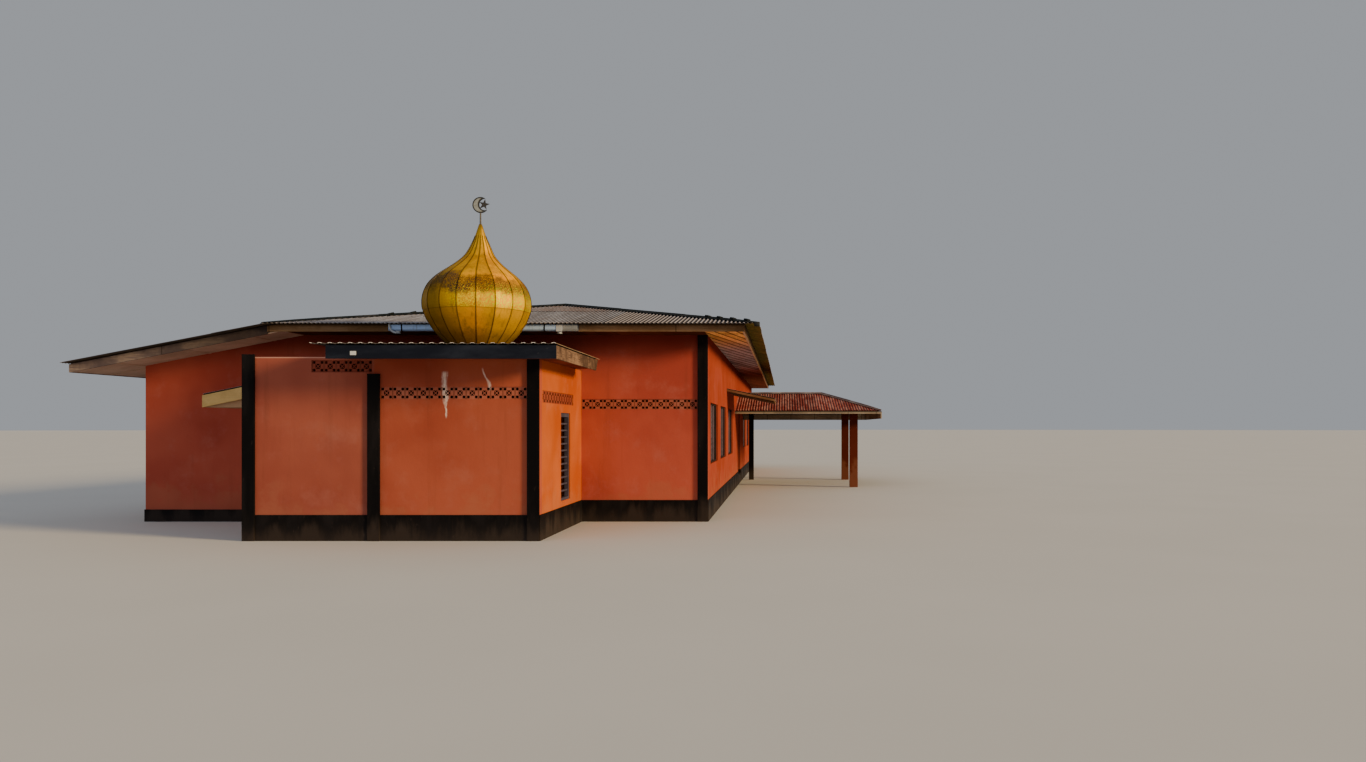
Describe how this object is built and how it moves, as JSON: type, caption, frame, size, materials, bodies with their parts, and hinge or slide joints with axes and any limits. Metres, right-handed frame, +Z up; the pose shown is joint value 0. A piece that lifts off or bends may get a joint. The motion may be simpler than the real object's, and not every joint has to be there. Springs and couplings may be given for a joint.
{
  "type": "mosque building",
  "caption": "Single-storey prayer hall with a hipped sheet roof, a projecting front room under a flat porch roof with a gold onion dome, and an open annex at the side.",
  "frame": {"origin": "on the underside of the floor slab, under the middle of the hall", "axes": "+X to the viewer's right, +Y away from the viewer along the hall, +Z up"},
  "size_m": [15.47, 29.455, 5.522],
  "materials": {
    "wall": "matt painted render",
    "black": "matt painted render",
    "concrete": "bare concrete",
    "sheet": "weathered corrugated sheet",
    "capping": "dull weathered metal",
    "red_sheet": "weathered red corrugated sheet",
    "board_tan": "weathered painted board",
    "board_dark": "bare weathered board",
    "board_black": "painted board",
    "board_pale": "cream painted board",
    "soffit": "painted boards",
    "gutter": "pale painted metal",
    "gold": "gold painted sheet, tarnished",
    "steel": "dull metal",
    "glass": "dark window glass",
    "frame": "painted slats",
    "post": "painted posts"
  },
  "bodies": {
    "root": {"floor_slab": "concrete", "plinth": "black", "hall_front_wall": "wall", "hall_left_wall": "wall", "hall_right_wall": "wall", "hall_rear_wall": "wall", "corner_strip": "black", "hall_vent_blocks": "wall", "left_windows": "glass", "right_windows": "glass", "roof_front": "sheet", "roof_right": "sheet", "roof_left": "sheet", "roof_rear": "sheet", "ridge_caps": "capping", "fascia_front": "board_tan", "fascia_right": "board_tan", "fascia_rear": "board_tan", "fascia_left": "board_dark", "rake_board_front": "board_dark", "soffit_level": "soffit", "soffit_left": "soffit", "gutter": "gutter", "bay_wall": "wall", "porch_wall": "wall", "room_left_wall": "wall", "room_right_wall": "wall", "pilaster_left": "black", "pilaster_middle": "black", "pilaster_right": "black", "porch_vent_blocks": "wall", "bay_vent_blocks": "wall", "right_vent_blocks": "wall", "left_vent_blocks": "wall", "right_slatted_window": "frame", "left_slatted_window": "frame", "bay_roof_slab": "concrete", "porch_roof": "sheet", "porch_soffit": "soffit", "porch_fascia_front": "board_black", "porch_fascia_right": "board_dark", "porch_fascia_left": "board_dark", "canopy_sheet": "sheet", "canopy_board": "board_pale", "dome": "gold", "finial_rod": "steel", "crescent": "steel", "star": "steel", "awning_sheet": "sheet", "awning_board": "board_tan", "annex_roof_front": "red_sheet", "annex_roof_right": "red_sheet", "annex_roof_rear": "red_sheet", "annex_boards": "board_pale", "annex_post_front": "post", "annex_post_rear": "post", "annex_post_inner": "black"}
  },
  "joints": []
}
